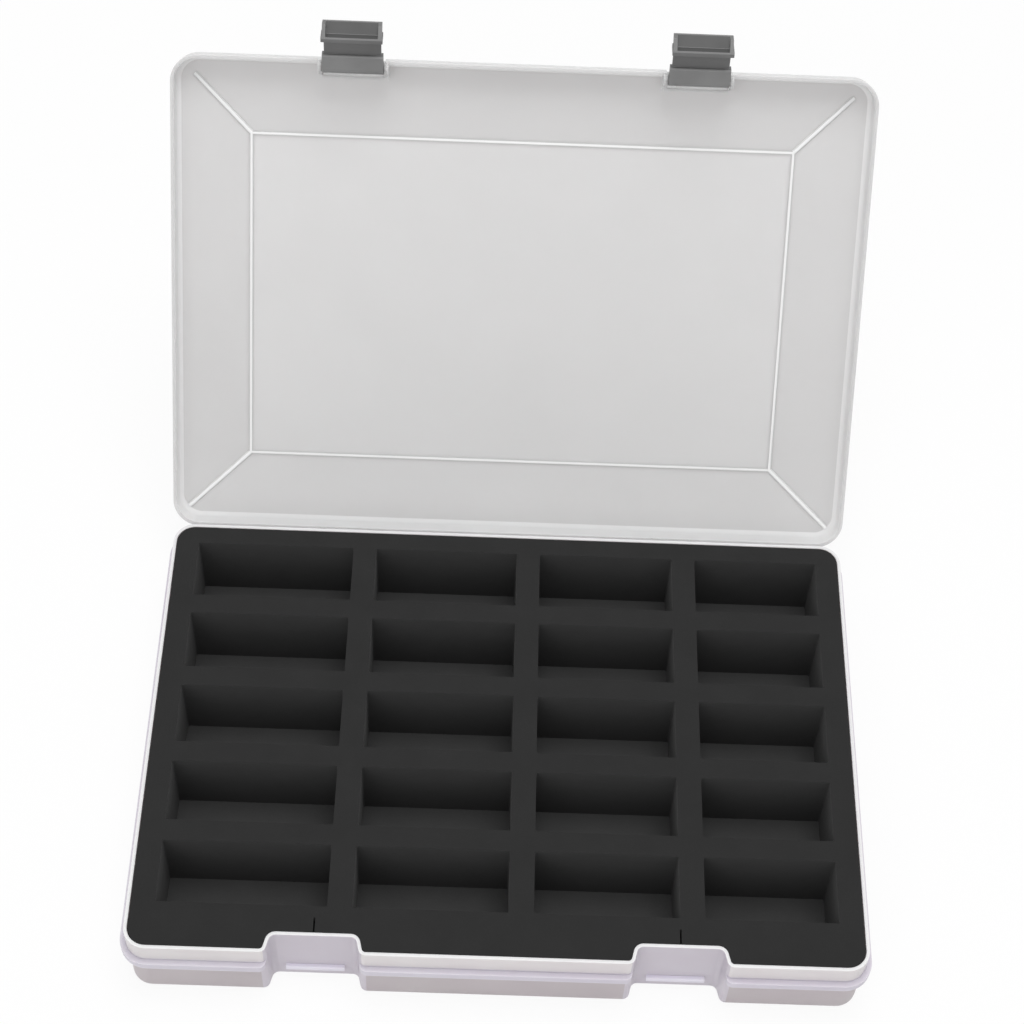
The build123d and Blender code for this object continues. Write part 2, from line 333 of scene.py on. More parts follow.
@dataclass
class Effects:
    """The shader node groups that several finishes share."""

    broad_scale: float = 45.0
    powder_scale: float = 60.0
    speck_scale: float = 2600.0
    speck_range: Span = (0.55, 0.8)
    powder_share: float = 0.55
    speck_share: float = 0.45
    rounded_highlight_share: float = 0.5
    cut_share: Span = (1.0, 0.7)
    foam_roughness: Span = (0.82, 0.95)
    grain_strength: float = 0.5
    pit_strength: float = 0.6

    def __post_init__(self) -> None:
        """Builds each group once."""
        self.grain = self.build_grain()
        self.clouding = self.build_clouding()
        self.cells = self.build_cells()

    def build_grain(self) -> NodeTree:
        """The fine satin of a moulded surface: a faint relief, and a roughness that wanders.

        Returns:
            The group, with Roughness and Normal outputs.
        """
        names = ("Scale", "Depth", "Roughness Low", "Roughness High")
        inputs = [(name, Socket.NUMBER) for name in names]
        outputs = [("Roughness", Socket.NUMBER), ("Normal", Socket.VECTOR)]
        build = TreeBuilder.group("Moulded grain", "ShaderNodeTree", inputs, outputs)
        entry = build.entry.outputs
        place = build.place()
        fine = build.noise(place, entry["Scale"], detail=3.0)
        broad = build.noise(place, self.broad_scale, detail=4.0)
        rough = build.ramp(broad, *NOISE_MIDDLE, entry["Roughness Low"], entry["Roughness High"])
        normal = build.bump(self.grain_strength, entry["Depth"], fine)
        build.feed(build.exit, {"Roughness": rough, "Normal": normal})
        return build.tree

    @staticmethod
    def build_clouding() -> NodeTree:
        """The uneven tone of milky plastic, with a painted highlight on its rounded edges.

        Returns:
            The group, with a Color output.
        """
        inputs = [(name, Socket.COLOUR) for name in ("Body", "Tint", "Edge")]
        inputs += [(name, Socket.NUMBER) for name in ("Scale", "Edge Amount")]
        outputs = [("Color", Socket.COLOUR)]
        build = TreeBuilder.group("Clouded plastic", "ShaderNodeTree", inputs, outputs)
        entry = build.entry.outputs
        clouds = build.noise(build.place(), entry["Scale"], detail=3.0)
        amount = build.ramp(clouds, *NOISE_CORE, 0.0, 1.0)
        tone = build.blend(amount, entry["Body"], entry["Tint"], "MULTIPLY")
        # painted highlight: the rounded edges are blended towards the Edge colour
        edge = build.maths("MULTIPLY", build.mask("edge"), entry["Edge Amount"])
        build.feed(build.exit, {"Color": build.blend(edge, tone, entry["Edge"])})
        return build.tree

    def build_cells(self) -> NodeTree:
        """The skin of closed-cell foam: tiny pits, a powdery tone, paler cut edges and a painted
        highlight on its rounded top edges.

        Returns:
            The group, with Color, Roughness and Normal outputs.
        """
        inputs = [(name, Socket.COLOUR) for name in ("Dark", "Light", "Cut")]
        inputs += [(name, Socket.NUMBER) for name in ("Scale", "Depth")]
        outputs = [
            ("Color", Socket.COLOUR),
            ("Roughness", Socket.NUMBER),
            ("Normal", Socket.VECTOR),
        ]
        build = TreeBuilder.group("Foam cells", "ShaderNodeTree", inputs, outputs)
        entry = build.entry.outputs
        place = build.place()
        cells = {"Vector": place, "Scale": entry["Scale"]}
        pits = build.node("ShaderNodeTexVoronoi", cells, feature="SMOOTH_F1")
        powder = build.noise(place, self.powder_scale, detail=6.0)
        speck = build.noise(place, self.speck_scale)
        tone = build.maths(
            "ADD",
            build.ramp(powder, *NOISE_MIDDLE, 0.0, self.powder_share),
            build.ramp(speck, *self.speck_range, 0.0, self.speck_share),
        )
        # painted highlight: the rounded top edges are made lighter
        rounded = build.maths("MULTIPLY", build.mask("edge"), self.rounded_highlight_share)
        tone = build.maths("ADD", tone, rounded)
        light = build.ramp(tone, 0.0, 1.0, 0.0, 1.0)
        colour = build.blend(light, entry["Dark"], entry["Light"])
        share = build.ramp(tone, 0.0, 1.0, *self.cut_share)
        shown = build.maths("MULTIPLY", build.mask("cut"), share)
        build.feed(build.exit, {
            "Color": build.blend(shown, colour, entry["Cut"]),
            "Roughness": build.ramp(powder, *NOISE_MIDDLE, *self.foam_roughness),
            "Normal": build.bump(self.pit_strength, entry["Depth"], pits.outputs["Distance"]),
        })
        return build.tree


@dataclass(frozen=True)
class Zone:
    """A part of a moulding whose tone differs from the rest, above a height."""

    above: float
    fade: float
    colour: Colour


def start_material(name: str) -> tuple[Material, TreeBuilder]:
    """Makes a material, with the builder of its nodes."""
    material = bpy.data.materials.new(name)
    material.use_nodes = True
    return material, TreeBuilder(material.node_tree)


@dataclass(frozen=True)
class MouldedPlastic:
    """A satin moulded plastic, milky or solid."""

    name: str
    body: Colour
    tint: Colour
    # edge and its amount give a painted highlight on the rounded edges
    edge: Colour
    edge_highlight_amount: float
    zones: tuple[Zone, ...] = ()
    marked: tuple[tuple[str, Colour], ...] = ()
    cloud_scale: float = 18.0
    grain_scale: float = 1600.0
    grain_depth: float = 0.00002
    roughness: Span = (0.35, 0.5)
    milkiness: float = 0.0
    scatter_reach: float = 0.003
    scatter_balance: Triple = (1.0, 0.95, 0.95)
    specular: float = 0.5

    def material(self, effects: Effects) -> Material:
        """Builds the finish.

        Args:
            effects: The shared node groups.

        Returns:
            The new material.
        """
        material, build = start_material(self.name)
        surface = build.tree.nodes["Principled BSDF"]
        clouds = {
            "Body": self.ground(build),
            "Tint": self.tint,
            "Edge": self.edge,
            "Scale": self.cloud_scale,
            "Edge Amount": self.edge_highlight_amount,
        }
        tone = build.node("ShaderNodeGroup", clouds, node_tree=effects.clouding)
        satin = {
            "Scale": self.grain_scale,
            "Depth": self.grain_depth,
            "Roughness Low": self.roughness[0],
            "Roughness High": self.roughness[1],
        }
        grain = build.node("ShaderNodeGroup", satin, node_tree=effects.grain)
        build.feed(surface, {
            "Base Color": tone.outputs["Color"],
            "Roughness": grain.outputs["Roughness"],
            "Normal": grain.outputs["Normal"],
            "Specular IOR Level": self.specular,
            "Subsurface Weight": self.milkiness,
            "Subsurface Radius": self.scatter_balance,
            "Subsurface Scale": self.scatter_reach,
        })
        return material

    def ground(self, build: TreeBuilder) -> object:
        """The colour under the clouding, which changes with height and on the marked faces.

        Args:
            build: The builder of the material's tree.

        Returns:
            A colour, or the socket of one.
        """
        colour: object = self.body
        if self.zones:
            height = build.node("ShaderNodeSeparateXYZ", {0: build.place()}).outputs["Z"]
            for zone in self.zones:
                start, end = zone.above - zone.fade, zone.above + zone.fade
                reached = build.ramp(height, start, end, 0.0, 1.0)
                colour = build.blend(reached, colour, zone.colour)
        for mask, marked_colour in self.marked:
            colour = build.blend(build.mask(mask), colour, marked_colour)
        return colour


@dataclass(frozen=True)
class BlackFoam:
    """Black closed-cell foam with a matt, finely pitted skin."""

    name: str
    dark: Colour
    light: Colour
    cut: Colour
    cell_scale: float = 900.0
    cell_depth: float = 0.00008
    specular: float = 0.15
    sheen: float = 0.05
    sheen_roughness: float = 0.6

    def material(self, effects: Effects) -> Material:
        """Builds the finish.

        Args:
            effects: The shared node groups.

        Returns:
            The new material.
        """
        material, build = start_material(self.name)
        surface = build.tree.nodes["Principled BSDF"]
        pitted = {
            "Dark": self.dark,
            "Light": self.light,
            "Cut": self.cut,
            "Scale": self.cell_scale,
            "Depth": self.cell_depth,
        }
        cells = build.node("ShaderNodeGroup", pitted, node_tree=effects.cells)
        build.feed(surface, {
            "Base Color": cells.outputs["Color"],
            "Roughness": cells.outputs["Roughness"],
            "Normal": cells.outputs["Normal"],
            "Specular IOR Level": self.specular,
            "Sheen Weight": self.sheen,
            "Sheen Roughness": self.sheen_roughness,
        })
        return material


@dataclass
class Finishes:
    """Every finish of the case."""

    effects: Effects
    tray: Material = field(init=False)
    lid: Material = field(init=False)
    line: Material = field(init=False)
    latch: Material = field(init=False)
    foam: Material = field(init=False)
    sheet: Material = field(init=False)

    def __post_init__(self) -> None:
        """Builds the materials."""
        self.tray = MouldedPlastic(
            "Milky tray plastic",
            body=shade(188, (1.02, 0.93, 0.96)),
            tint=(0.97, 0.95, 0.97, 1.0),
            edge=shade(240),
            edge_highlight_amount=0.35,
            # tones by height: the body below the ledge stays darker as painted shade and the whiter
            # lip is a painted highlight; the lilac and pink tints are the plastic's own
            zones=(  # from the ledge up, from the rim band up, and the rim's lip
                Zone(above=27.0 * MM, fade=0.2 * MM, colour=shade(207, (1.0, 0.96, 1.07))),
                Zone(above=32.2 * MM, fade=0.8 * MM, colour=shade(222, (1.03, 0.985, 0.985))),
                Zone(above=43.45 * MM, fade=0.15 * MM, colour=shade(229)),
            ),
            marked=(
                ("recess", shade(202, (1.01, 0.95, 1.04))),
                # the catch is painted lighter as a highlight on the lit bar
                ("catch", shade(225, (1.0, 0.97, 1.08))),
            ),
            milkiness=0.6,
        ).material(self.effects)
        self.lid = MouldedPlastic(
            "Frosted lid plastic",
            body=shade(197),
            tint=(0.985, 0.985, 0.985, 1.0),
            edge=shade(215),
            edge_highlight_amount=0.25,
            # painted light: the skirt is lighter as a glow of its translucent walls and the flat
            # panel lighter as the light falling on it
            marked=(("skirt", shade(220)), ("panel", shade(202))),
            roughness=(0.42, 0.55),
            milkiness=1.0,
            scatter_reach=0.006,
        ).material(self.effects)
        self.line = MouldedPlastic(
            "White raised line",
            body=shade(241),
            tint=(0.985, 0.985, 0.985, 1.0),
            edge=shade(246),
            edge_highlight_amount=0.0,
            roughness=(0.5, 0.6),
        ).material(self.effects)
        self.latch = MouldedPlastic(
            "Grey latch plastic",
            body=shade(113),
            tint=(0.88, 0.88, 0.88, 1.0),
            edge=shade(140),
            edge_highlight_amount=0.5,
            # painted light on the block and painted shade in the pull's hollow
            marked=(("block", shade(137)), ("hollow", shade(66))),
            cloud_scale=60.0,
            grain_depth=0.00004,
            roughness=(0.38, 0.5),
        ).material(self.effects)
        self.foam = BlackFoam(
            "Black foam", dark=shade(36), light=shade(46), cut=shade(64)
        ).material(self.effects)
        # the sheet is paler than the block as painted light on the pocket floors
        self.sheet = BlackFoam(
            "Thin foam sheet", dark=shade(68), light=shade(76), cut=shade(72)
        ).material(self.effects)


def mark_faces(mesh: Mesh, mask: str, values: list[float]) -> None:
    """Stores one value for each face under a mask's name, for the finish to read."""
    attribute = mesh.attributes.new(mask, "FLOAT", "FACE")
    attribute.data.foreach_set("value", np.array(values, np.float32))


def mark_where(
    mesh: Mesh, mask: str, shut: Matrix, rule: Callable[[Vector, Vector], bool]
) -> None:
    """Marks the faces that a rule picks.

    Args:
        mesh: The mesh, in its place on the open case.
        mask: The mask's name.
        shut: The turn that takes the mesh to its place on the shut case.
        rule: Says from a face's middle and its normal, on the shut case, whether it belongs.
    """
    turn = shut.to_3x3()
    values = [float(rule(shut @ face.center, turn @ face.normal)) for face in mesh.polygons]
    mark_faces(mesh, mask, values)


def smooth_by_angle(mesh: Mesh, degrees: float) -> None:
    """Shades the mesh smooth, apart from edges sharper than the angle."""
    mesh.polygons.foreach_set("use_smooth", [True] * len(mesh.polygons))
    mesh.set_sharp_from_angle(angle=math.radians(degrees))


def shade_evenly(piece: Object) -> None:
    """Lets each large flat face keep its own shading beside the faces of a rounded edge."""
    weighted = piece.modifiers.new("Even shading", "WEIGHTED_NORMAL")
    weighted.keep_sharp = True
    weighted.weight = FLAT_WEIGHT


def round_edges(
    work: bmesh.types.BMesh, edges: list[bmesh.types.BMEdge], radius: float, segments: int
) -> list[float]:
    """Rounds some edges of a mesh.

    Args:
        work: The mesh that is being built.
        edges: The edges to round.
        radius: How far the rounding reaches on each side.
        segments: How many pieces it has.

    Returns:
        A mask with 1 for each new face of the rounding and 0 for each other face.
    """
    rounded = bmesh.ops.bevel(
        work,
        geom=edges,
        offset=radius,
        offset_type="OFFSET",
        segments=segments,
        profile=0.5,
        affect="EDGES",
        clamp_overlap=True,
        loop_slide=True,
    )
    new_faces = set(rounded["faces"])
    return [1.0 if face in new_faces else 0.0 for face in work.faces]


def add_to_scene(name: str, data: ID) -> Object:
    """Makes an object of some data and adds it to the scene."""
    added = bpy.data.objects.new(name, data)
    bpy.context.scene.collection.objects.link(added)
    return added


def object_from(mesh: Mesh, name: str, material: Material) -> Object:
    """Puts a mesh into the scene with one material.

    Args:
        mesh: The finished mesh, in place.
        name: The piece's name.
        material: Its finish.

    Returns:
        The new object.
    """
    mesh.name = name
    mesh.materials.clear()
    mesh.materials.append(material)
    return add_to_scene(name, mesh)


def report(piece: Object, body: Body, nodes: tuple[str, ...] = ()) -> None:
    """Hands a piece to the frame and says so in the log.

    Args:
        piece: The piece, in place.
        body: The body that it moves with.
        nodes: The CAD nodes that it stands for.
    """
    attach(piece, body.value)
    if nodes:
        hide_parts(*nodes)
    faces = len(piece.data.polygons)
    logger.info("%s rides on %s with %d faces", piece.name, body.value, faces)


@dataclass
class SoftenedMoulding:
    """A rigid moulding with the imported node's shape and every sharp edge rounded."""

    node: str
    name: str
    radius: float
    sizes: CaseSizes
    segments: int = 2
    sharp_angle: float = math.radians(28.0)
    flat_angle: float = math.radians(0.6)
    merge_distance: float = 0.002 * MM
    shortest_edge: float = 0.001 * MM

    def build(self, source: Object, material: Material) -> Object:
        """Rounds the edges of a copy of the node.

        Args:
            source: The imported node, which is left as it is.
            material: The moulding's finish.

        Returns:
            The softened piece.
        """
        work = bmesh.new()
        vertices = [work.verts.new(v.co) for v in source.data.vertices]
        for polygon in source.data.polygons:
            try:
                work.faces.new([vertices[i] for i in polygon.vertices])
            except ValueError:
                logger.info("%s: a doubled face is left out", self.node)
        bmesh.ops.remove_doubles(work, verts=work.verts, dist=self.merge_distance)
        bmesh.ops.dissolve_degenerate(work, edges=work.edges, dist=self.shortest_edge)
        bmesh.ops.dissolve_limit(
            work,
            angle_limit=self.flat_angle,
            use_dissolve_boundaries=False,
            verts=work.verts,
            edges=work.edges,
            delimit=set(),
        )
        sharp = [
            edge for edge in work.edges
            if len(edge.link_faces) == 2 and edge.calc_face_angle(0.0) > self.sharp_angle
        ]
        marks = round_edges(work, sharp, self.radius, self.segments)
        mesh = bpy.data.meshes.new(self.name)
        work.to_mesh(mesh)
        work.free()
        mark_faces(mesh, "edge", marks)
        self.mark_more(mesh)
        smooth_by_angle(mesh, BEND_ANGLE)
        piece = object_from(mesh, self.name, material)
        shade_evenly(piece)
        return piece

    def mark_more(self, mesh: Mesh) -> None:
        """Stores the masks that only one moulding has."""


@dataclass
class TrayMoulding(SoftenedMoulding):
    """The tray's moulding, with masks of its two latch recesses and their catches."""

    catch_half: float = 14.2 * MM
    catch_top: float = 12.5 * MM
    catch_bottom: float = 9.5 * MM
    catch_reach: float = 2.0 * MM
    wall_lean: float = 3.0 * MM
    mouth_rounding: float = 0.6 * MM
    lip_rounding: float = 0.5 * MM
    slack: float = 0.1 * MM
    rear_facing: float = 0.3

    def mark_more(self, mesh: Mesh) -> None:
        """Marks the walls of the recesses and the catches in them."""
        mark_where(mesh, "recess", Matrix.Identity(4), self.in_recess)
        mark_where(mesh, "catch", Matrix.Identity(4), self.on_catch)

    def in_recess(self, middle: Vector, normal: Vector) -> bool:
        """Whether a face is an upright wall of a recess."""
        sizes = self.sizes
        reach = middle.y + sizes.width / 2
        half = sizes.recess_mouth_width / 2 + self.wall_lean
        beside = abs(abs(middle.x) - sizes.latch_x) < half
        inside = self.mouth_rounding < reach < sizes.recess_depth + self.wall_lean
        outward = normal.z < UPRIGHT_RISE and normal.y < self.rear_facing
        return beside and inside and outward and middle.z < sizes.height - self.lip_rounding

    def on_catch(self, middle: Vector, normal: Vector) -> bool:
        """Whether a face belongs to a catch."""
        back = -self.sizes.width / 2 + self.sizes.recess_depth
        beside = abs(abs(middle.x) - self.sizes.latch_x) < self.catch_half
        inside = back - self.catch_reach - self.slack < middle.y < back - self.slack
        return beside and inside and self.catch_bottom < middle.z < self.catch_top


@dataclass
class LidMoulding(SoftenedMoulding):
    """The lid's moulding, with masks of its flat panel and its skirt, which get painted light."""

    panel_floor: float = 47.2 * MM
    skirt_top: float = 44.8 * MM
    skirt_bottom: float = 32.4 * MM

    def mark_more(self, mesh: Mesh) -> None:
        """Marks the faces of the flat panel, inside and outside, and those of the skirt."""
        shut = self.sizes.opening().inverted()
        mark_where(mesh, "panel", shut, lambda middle, normal: middle.z > self.panel_floor)
        low, high = self.skirt_bottom, self.skirt_top
        mark_where(mesh, "skirt", shut, lambda middle, normal: low < middle.z < high)


@dataclass
class LatchMoulding(SoftenedMoulding):
    """A latch's moulding, with masks of its thick block (painted light) and pull's hollow (painted
    shade).
    """

    block_drop: float = 9.6 * MM
    block_reach: float = 2.4 * MM
    hollow_drop: float = 22.3 * MM
    hollow_half: float = 13.05 * MM
    hollow_reach: float = 7.2 * MM
    highest_rise: float = 0.1
    front_facing: float = -0.2

    def mark_more(self, mesh: Mesh) -> None:
        """Marks the faces of the block and those inside the pull."""
        shut = self.sizes.latch_opening().inverted()
        mark_where(mesh, "block", shut, self.on_block)
        mark_where(mesh, "hollow", shut, self.in_hollow)

    def on_block(self, middle: Vector, normal: Vector) -> bool:
        """Whether a face belongs to the block."""
        drop, inward = self.sizes.latch_z - middle.z, middle.y - self.sizes.latch_y
        return drop < self.block_drop and inward > self.block_reach

    def in_hollow(self, middle: Vector, normal: Vector) -> bool:
        """Whether a face lies inside the pull."""
        drop, inward = self.sizes.latch_z - middle.z, middle.y - self.sizes.latch_y
        beside = abs(abs(middle.x) - self.sizes.latch_x) < self.hollow_half
        facing = normal.z < self.highest_rise and normal.y > self.front_facing
        return drop > self.hollow_drop and inward < self.hollow_reach and beside and facing


@dataclass
class LidLines:
    """The raised lines on the inner face of the lid, which a rounded rib follows."""

    sizes: CaseSizes
    inner_height: float = 47.9 * MM
    foot_length: float = 346.0 * MM
    foot_width: float = 238.0 * MM
    rise: float = 3.0 * MM
    front_share: float = 0.83
    back_share: float = 0.94
    line_width: float = 2.6 * MM
    line_height: float = 0.8 * MM
    ring_points: int = 16
    smooth_angle: float = 60.0

    def tree(self) -> NodeTree:
        """Builds the geometry tree of a frame with four falling corner lines.

        Returns:
            The tree, with its sizes as named inputs.
        """
        build = TreeBuilder.shaping("Raised lines", {
            "Panel Length": self.sizes.panel_length,
            "Panel Width": self.sizes.panel_width,
            "Panel Setback": self.sizes.panel_setback,
            "Foot Length": self.foot_length,
            "Foot Width": self.foot_width,
            "Height": self.inner_height,
            "Rise": self.rise,
            "Front Share": self.front_share,
            "Back Share": self.back_share,
            "Line Width": self.line_width,
            "Line Height": self.line_height,
        })
        entry = build.entry.outputs
        panel = {"Width": entry["Panel Length"], "Height": entry["Panel Width"]}
        frame = build.node("GeometryNodeCurvePrimitiveQuadrilateral", panel)
        middle = build.vector(0.0, entry["Panel Setback"], entry["Height"])
        lift = build.node(
            "GeometryNodeTransform", {"Geometry": frame.outputs[0], "Translation": middle}
        )
        paths = build.node("GeometryNodeJoinGeometry", {0: lift.outputs[0]})
        for y_side, share in ((-0.5, entry["Front Share"]), (0.5, entry["Back Share"])):
            half_panel = build.maths("MULTIPLY", entry["Panel Width"], y_side)
            near_y = build.maths("ADD", half_panel, entry["Panel Setback"])
            far_y = build.maths("MULTIPLY", entry["Foot Width"], y_side)
            end_y = self.part_way(build, near_y, far_y, share)
            fall = build.maths("MULTIPLY", share, entry["Rise"])
            end_z = build.maths("SUBTRACT", entry["Height"], fall)
            for x_side in (-0.5, 0.5):
                near_x = build.maths("MULTIPLY", entry["Panel Length"], x_side)
                far_x = build.maths("MULTIPLY", entry["Foot Length"], x_side)
                end_x = self.part_way(build, near_x, far_x, share)
                ends = {
                    "Start": build.vector(near_x, near_y, entry["Height"]),
                    "End": build.vector(end_x, end_y, end_z),
                }
                line = build.node("GeometryNodeCurvePrimitiveLine", ends)
                build.feed(paths, {0: line.outputs[0]})
        upright = build.node("GeometryNodeSetCurveNormal", {"Curve": paths.outputs[0]}, mode="Z_UP")
        circle = {"Resolution": self.ring_points, "Radius": 1.0}
        ring = build.node("GeometryNodeCurvePrimitiveCircle", circle)
        half_width = build.maths("MULTIPLY", entry["Line Width"], 0.5)
        squash = build.vector(half_width, entry["Line Height"], 1.0)
        oval = build.node("GeometryNodeTransform", {"Geometry": ring.outputs[0], "Scale": squash})
        rib = build.node("GeometryNodeCurveToMesh", {
            "Curve": upright.outputs[0],
            "Profile Curve": oval.outputs[0],
            "Fill Caps": True,
        })
        finish_tree(build, rib.outputs[0])
        return build.tree

    @staticmethod
    def part_way(build: TreeBuilder, near: object, far: object, share: object) -> NodeSocket:
        """The place that is a share of the way from near to far."""
        gap = build.maths("SUBTRACT", far, near)
        return build.maths("ADD", near, build.maths("MULTIPLY", gap, share))

    def build(self, material: Material) -> Object:
        """Runs the tree and lays the lines on the open lid.

        Args:
            material: The finish of the lines.

        Returns:
            The finished piece.
        """
        host = bpy.data.meshes.new("line host")
        mesh = run_tree(self.tree(), host, {"Material": material})
        mesh.transform(self.sizes.opening())
        smooth_by_angle(mesh, self.smooth_angle)
        return object_from(mesh, "lid_raised_lines", material)


def finish_tree(build: TreeBuilder, geometry: NodeSocket) -> None:
    """Ends a geometry tree with real instances and its material."""
    real = build.node("GeometryNodeRealizeInstances", {0: geometry})
    paint = build.node("GeometryNodeSetMaterial", {
        "Geometry": real.outputs[0],
        "Material": build.entry.outputs["Material"],
    })
    build.feed(build.exit, {"Geometry": paint.outputs[0]})


def run_tree(tree: NodeTree, host: ID, values: dict[str, object]) -> Mesh:
    """Runs a geometry tree on a host and keeps the result as a plain mesh.

    Args:
        tree: The geometry tree.
        host: The mesh or curve that the tree works on.
        values: What each named input is set to.

    Returns:
        The mesh that the tree made.
    """
    carrier = add_to_scene("tree carrier", host)
    modifier = carrier.modifiers.new("tree", "NODES")
    modifier.node_group = tree
    for item in tree.interface.items_tree:
        if item.item_type == "SOCKET" and item.in_out == "INPUT" and item.name in values:
            modifier[item.identifier] = values[item.name]
    evaluated = carrier.evaluated_get(bpy.context.evaluated_depsgraph_get())
    mesh = bpy.data.meshes.new_from_object(evaluated)
    carrier.modifiers.remove(modifier)
    bpy.data.objects.remove(carrier)
    return mesh


def rounded_corner(
    before: Point, corner: Point, after: Point, radius: float, steps: int
) -> list[Point]:
    """The points of an arc that rounds one corner of an outline.

    Args:
        before: The outline's point before the corner.
        corner: The corner.
        after: The outline's point after it.
        radius: The radius of the arc, or 0 for a sharp corner.
        steps: How many pieces the arc has.

    Returns:
        The arc's points, in order.
    """
    if radius <= 0.0:
        return [corner]
    apex = Vector(corner)
    back = (Vector(before) - apex).normalized()
    forth = (Vector(after) - apex).normalized()
    half = 0.5 * back.angle(forth)
    centre = apex + (back + forth).normalized() * (radius / math.sin(half))
    reach = radius / math.tan(half)
    start, end = apex + back * reach - centre, apex + forth * reach - centre
    swing = start.angle(end)
    points = []
    for step in range(steps + 1):
        share = step / steps
        from_start = math.sin((1 - share) * swing) / math.sin(swing)
        from_end = math.sin(share * swing) / math.sin(swing)
        points.append(tuple(centre + (start * from_start + end * from_end)))
    return points


@dataclass
class FoamInsert:
    """The black insert: a block cut through with rows of pockets, on a thin closing sheet."""

    sizes: CaseSizes
    inset: float = 2.0 * MM
    backing: float = 1.0 * MM
    column_lengths: tuple[float, ...] = (80.99 * MM, 73.80 * MM, 69.20 * MM, 63.61 * MM)
    column_wall: float = 11.9 * MM
    rows: int = 5
    pocket_width: float = 32.5 * MM
    row_wall: float = 10.9 * MM
    back_margin: float = 11.8 * MM
    slit_width: float = 1.0 * MM
    slit_length: float = 7.5 * MM
    edge_radius: float = 0.7 * MM
    edge_share: float = 0.3
    edge_segments: int = 3
    pocket_corner: float = 0.9 * MM
    pocket_steps: int = 4
    corner_steps: int = 10
    merge_distance: float = 0.005 * MM
    height_slack: float = 0.01 * MM
    rounded_angle: float = math.radians(60.0)

    def outline(self) -> list[Point]:
        """The plan of the insert, round the two latch recesses with their slits.

        Returns:
            The outline's points, anticlockwise from the front left corner.
        """
        s, grow = self.sizes, self.inset
        x_edge, y_edge = s.length / 2 - grow, s.width / 2 - grow
        lean = math.atan((s.recess_mouth_width - s.recess_back_width) / 2 / s.recess_depth)
        back = -s.width / 2 + s.recess_depth + grow
        half_back = s.recess_back_width / 2 + grow / math.cos(lean) - grow * math.tan(lean)
        half_front = half_back + (back + y_edge) * math.tan(lean)
        corners: list[Triple] = [(-x_edge, -y_edge, s.corner_radius - grow)]
        for x in (-s.latch_x, s.latch_x):
            corners += [
                (x - half_front, -y_edge, s.recess_mouth_radius - grow),
                (x - half_back, back, s.recess_back_radius + grow),
                (x - self.slit_width / 2, back, 0.0),
                (x - self.slit_width / 2, back + self.slit_length, 0.0),
                (x + self.slit_width / 2, back + self.slit_length, 0.0),
                (x + self.slit_width / 2, back, 0.0),
                (x + half_back, back, s.recess_back_radius + grow),
                (x + half_front, -y_edge, s.recess_mouth_radius - grow),
            ]
        others = ((x_edge, -y_edge), (x_edge, y_edge), (-x_edge, y_edge))
        corners += [(x, y, s.corner_radius - grow) for x, y in others]
        points: list[Point] = []
        for index, (x, y, radius) in enumerate(corners):
            before, after = corners[index - 1], corners[(index + 1) % len(corners)]
            points += rounded_corner(before[:2], (x, y), after[:2], radius, self.corner_steps)
        return points

    def outline_curve(self) -> Curve:
        """The plan as a closed curve for the tree to fill."""
        curve = bpy.data.curves.new("insert outline", "CURVE")
        curve.dimensions = "3D"
        points = self.outline()
        spline = curve.splines.new("POLY")
        spline.points.add(len(points) - 1)
        for place, (x, y) in zip(spline.points, points):
            place.co = (x, y, 0.0, 1.0)
        spline.use_cyclic_u = True
        return curve

    def tree(self) -> NodeTree:
        """Builds the geometry tree of a block that is cut through with rows of pockets.

        Returns:
            The tree, with its sizes as named inputs.
        """
        sizes = {
            "Rows": self.rows,
            "First Column": 0.0,
            "Column Wall": self.column_wall,
            "First Row": 0.0,
            "Pocket Width": self.pocket_width,
            "Row Wall": self.row_wall,
            "Pocket Corner": self.pocket_corner,
            "Bottom": 0.0,
            "Thickness": 0.0,
        }
        for column, length in enumerate(self.column_lengths):
            sizes[f"Column {column + 1} Length"] = length
        build = TreeBuilder.shaping("Die-cut block", sizes)
        entry = build.entry.outputs
        pitch = build.maths("ADD", entry["Pocket Width"], entry["Row Wall"])
        step = build.vector(0.0, build.maths("MULTIPLY", pitch, -1.0), 0.0)
        half_pocket = build.maths("MULTIPLY", entry["Pocket Width"], 0.5)
        row_y = build.maths("SUBTRACT", entry["First Row"], half_pocket)
        plan = build.node("GeometryNodeJoinGeometry", {0: entry["Geometry"]})
        left = entry["First Column"]
        for column in range(len(self.column_lengths)):
            length = entry[f"Column {column + 1} Length"]
            pocket = {"Width": length, "Height": entry["Pocket Width"]}
            shape = build.node("GeometryNodeCurvePrimitiveQuadrilateral", pocket)
            corners = {
                "Curve": shape.outputs[0],
                "Count": self.pocket_steps,
                "Radius": entry["Pocket Corner"],
            }
            rounded = build.node("GeometryNodeFilletCurve", corners, mode="POLY")
            middle = build.maths("ADD", left, build.maths("MULTIPLY", length, 0.5))
            rows = {
                "Count": entry["Rows"],
                "Start Location": build.vector(middle, row_y, 0.0),
                "Offset": step,
            }
            line = build.node("GeometryNodeMeshLine", rows, mode="OFFSET", count_mode="TOTAL")
            copies = build.node("GeometryNodeInstanceOnPoints", {
                "Points": line.outputs[0],
                "Instance": rounded.outputs[0],
            })
            real = build.node("GeometryNodeRealizeInstances", {0: copies.outputs[0]})
            build.feed(plan, {0: real.outputs[0]})
            right = build.maths("ADD", left, length)
            left = build.maths("ADD", right, entry["Column Wall"])
        self.thicken(build, plan.outputs[0])
        return build.tree

